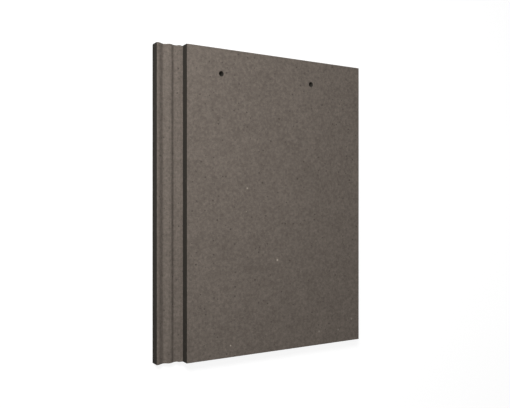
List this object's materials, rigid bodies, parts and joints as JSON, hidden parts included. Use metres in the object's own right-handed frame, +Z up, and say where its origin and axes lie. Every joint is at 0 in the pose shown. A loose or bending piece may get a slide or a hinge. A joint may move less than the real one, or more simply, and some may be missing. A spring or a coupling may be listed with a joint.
{
  "type": "flat roof tile",
  "caption": "Flat interlocking concrete roof tile with a grooved underlock along one side, a matching overlock under the other, head nibs and nail holes.",
  "frame": {"origin": "on the floor under the middle of the lying tile's bounding box", "axes": "+X across the tile from the underlock side to the overlock side, +Y up the roof towards the head edge, +Z up out of the face, which leans by under two degrees because the tile lies on its nibs and its tail edge"},
  "size_m": [0.33, 0.421, 0.0408],
  "materials": {
    "concrete": "matt grey-brown through-coloured concrete, fine sandy surface"
  },
  "bodies": {
    "root": {"roof_tile": "concrete"}
  },
  "joints": []
}
